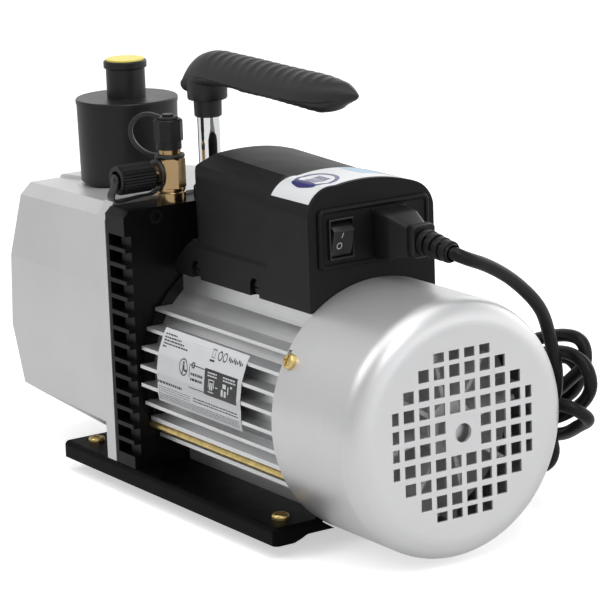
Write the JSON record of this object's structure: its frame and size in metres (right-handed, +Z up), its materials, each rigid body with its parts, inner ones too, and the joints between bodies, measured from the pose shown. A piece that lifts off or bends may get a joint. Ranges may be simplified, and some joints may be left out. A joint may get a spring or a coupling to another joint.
{
  "type": "rotary vane vacuum pump",
  "caption": "Two-stage oil-sealed rotary vane vacuum pump: finned motor, fan cover, oil tank, terminal box, capped inlet tee, exhaust filter and top handle on a footed base plate.",
  "frame": {"origin": "middle of the base plate, on the ground plane under the rubber feet", "axes": "+X along the shaft towards the fan end, -Y the side with the inlet fitting and the side label, +Z up"},
  "size_m": [0.38, 0.1839, 0.2391],
  "materials": {
    "base_paint": "satin black powder coat",
    "bracket_paint": "satin black painted casting",
    "frame_paint": "bare drawn aluminium extrusion, satin",
    "tank_paint": "silver grey painted casting, satin",
    "cover_paint": "silver grey painted sheet, satin",
    "shield_cast": "machined casting",
    "box_plastic": "fine grained black moulding",
    "black_plastic": "satin black moulding",
    "fan_plastic": "light grey moulding",
    "switch_black": "glossy black moulding",
    "grip_rubber": "soft matte black grip",
    "feet_rubber": "matte black rubber",
    "seal_rubber": "matte black rubber",
    "strap_rubber": "black moulded strap",
    "cord_rubber": "black cord sheath",
    "brass_machined": "bright machined brass",
    "gold_zinc": "yellow passivated zinc",
    "chrome_post": "polished chrome",
    "steel_plain": "ground steel",
    "zinc_steel": "bright zinc plated steel",
    "black_oxide": "blackened steel",
    "iron_cast": "machined cast iron",
    "copper_coil": "enamelled copper winding",
    "lamination": "stacked laminations",
    "vane_carbon": "carbon filled vane",
    "glass_sight": "clear sight glass",
    "yellow_plastic": "pale yellow moulding",
    "filter_media": "pleated filter medium",
    "gasket_fibre": "fibre gasket",
    "copper_washer": "soft copper sealing washer",
    "capacitor_can": "white moulded can"
  },
  "bodies": {
    "pump_frame": {"base_plate": "base_paint", "rubber_feet": "feet_rubber", "base_screws": "gold_zinc", "pump_bracket": "bracket_paint", "oil_tank": "tank_paint", "tank_gasket": "gasket_fibre", "tank_screws": "black_oxide", "sight_glass_bezel": "black_plastic", "sight_glass": "glass_sight", "motor_frame": "frame_paint", "tie_rods": "gold_zinc", "stator_core": "lamination", "stator_windings": "copper_coil", "motor_end_shield": "shield_cast", "fan_cover": "cover_paint", "cover_screws": "gold_zinc", "terminal_box": "box_plastic", "box_screws": "zinc_steel", "capacitor": "capacitor_can", "switch_body": "switch_black", "power_inlet": "switch_black", "ball_bearings": "steel_plain", "shaft_seal": "seal_rubber", "high_stage_stator": "iron_cast", "low_stage_stator": "iron_cast", "stage_divider": "iron_cast", "stage_end_plate": "iron_cast", "stage_bolts": "zinc_steel", "inlet_fitting": "brass_machined", "top_cap_strap": "strap_rubber", "side_cap_strap": "strap_rubber", "handle_post": "chrome_post", "handle_nut": "black_oxide", "handle_grip": "grip_rubber"},
    "drive_line": {"motor_shaft": "steel_plain", "rotor_core": "lamination", "cooling_fan": "fan_plastic", "shaft_coupling": "steel_plain", "high_stage_rotor": "iron_cast", "low_stage_rotor": "iron_cast", "vane_springs": "steel_plain"},
    "high_front_vane": {"high_vane_front": "vane_carbon"},
    "high_back_vane": {"high_vane_back": "vane_carbon"},
    "low_front_vane": {"low_vane_front": "vane_carbon"},
    "low_back_vane": {"low_vane_back": "vane_carbon"},
    "reed": {"exhaust_reed": "steel_plain"},
    "rocker": {"switch_rocker": "switch_black"},
    "filter_seal": {"filter_o_ring": "seal_rubber"},
    "filter": {"exhaust_filter": "black_plastic", "filter_element": "filter_media"},
    "plug_dust": {"dust_plug": "yellow_plastic"},
    "cap_top_button": {"top_cap_button": "black_plastic"},
    "cap_top": {"top_cap": "black_plastic"},
    "cap_side_button": {"side_cap_button": "black_plastic"},
    "cap_side": {"side_cap": "black_plastic"},
    "drain_seal": {"drain_washer": "copper_washer"},
    "drain": {"drain_plug": "zinc_steel"},
    "cord_set": {"cord_connector": "black_plastic", "power_cord": "cord_rubber", "mains_plug": "black_plastic"}
  },
  "joints": [
    {"name": "shaft_spin", "type": "hinge", "parent": "pump_frame", "child": "drive_line", "pos_m": [0, 0, 0.0695], "axis": [1, 0, 0], "continuous": true},
    {"name": "high_front_vane_slide", "type": "slide", "parent": "drive_line", "child": "high_front_vane", "axis": [0, -1, 0], "range_m": [0, 0.0025], "deforming": ["vane_springs"]},
    {"name": "high_back_vane_slide", "type": "slide", "parent": "drive_line", "child": "high_back_vane", "axis": [0, 1, 0], "range_m": [0, 0.0025]},
    {"name": "low_front_vane_slide", "type": "slide", "parent": "drive_line", "child": "low_front_vane", "axis": [0, -1, 0], "range_m": [0, 0.0025]},
    {"name": "low_back_vane_slide", "type": "slide", "parent": "drive_line", "child": "low_back_vane", "axis": [0, 1, 0], "range_m": [0, 0.0025]},
    {"name": "reed_lift", "type": "hinge", "parent": "pump_frame", "child": "reed", "pos_m": [-0.096, 0, 0.10375], "axis": [0, -1, 0], "range_deg": [0, 8]},
    {"name": "rocker_tilt", "type": "hinge", "parent": "pump_frame", "child": "rocker", "pos_m": [0.1021, -0.0216, 0.1593], "axis": [0, 1, 0], "range_deg": [0, 22]},
    {"name": "filter_lift", "type": "slide", "parent": "pump_frame", "child": "filter_seal", "axis": [0, 0, 1], "range_m": [0, 0.01101]},
    {"name": "filter_turn", "type": "hinge", "parent": "filter_seal", "child": "filter", "pos_m": [-0.1236, -0.008, 0.1541], "axis": [0, 0, 1], "range_deg": [0, 1980]},
    {"name": "dust_plug_pull", "type": "slide", "parent": "filter", "child": "plug_dust", "axis": [0, 0, 1], "range_m": [0, 0.012]},
    {"name": "top_cap_lift", "type": "slide", "parent": "pump_frame", "child": "cap_top_button", "axis": [0, 0, 1], "range_m": [0, 0.01017], "deforming": ["top_cap_strap"]},
    {"name": "top_cap_turn", "type": "hinge", "parent": "cap_top_button", "child": "cap_top", "pos_m": [-0.04, -0.032, 0.1915], "axis": [0, 0, 1], "range_deg": [0, 2880]},
    {"name": "side_cap_draw", "type": "slide", "parent": "pump_frame", "child": "cap_side_button", "axis": [0, -1, 0], "range_m": [0, 0.01017], "deforming": ["side_cap_strap"]},
    {"name": "side_cap_turn", "type": "hinge", "parent": "cap_side_button", "child": "cap_side", "pos_m": [-0.04, -0.05, 0.1738], "axis": [0, -1, 0], "range_deg": [0, 2880]},
    {"name": "drain_washer_draw", "type": "slide", "parent": "pump_frame", "child": "drain_seal", "axis": [-1, 0, 0], "range_m": [0, 0.01001]},
    {"name": "drain_plug_turn", "type": "hinge", "parent": "drain_seal", "child": "drain", "pos_m": [-0.198, 0, 0.0555], "axis": [-1, 0, 0], "range_deg": [0, 2880]},
    {"name": "cord_pull", "type": "slide", "parent": "pump_frame", "child": "cord_set", "axis": [1, 0, 0], "range_m": [0, 0.022]}
  ],
  "couplings": [
    {"joint": "filter_lift", "follows": "filter_turn", "m_per_rad": 0.00031831},
    {"joint": "top_cap_lift", "follows": "top_cap_turn", "m_per_rad": 0.00020213},
    {"joint": "side_cap_draw", "follows": "side_cap_turn", "m_per_rad": 0.00020213},
    {"joint": "drain_washer_draw", "follows": "drain_plug_turn", "m_per_rad": 0.00019894}
  ]
}
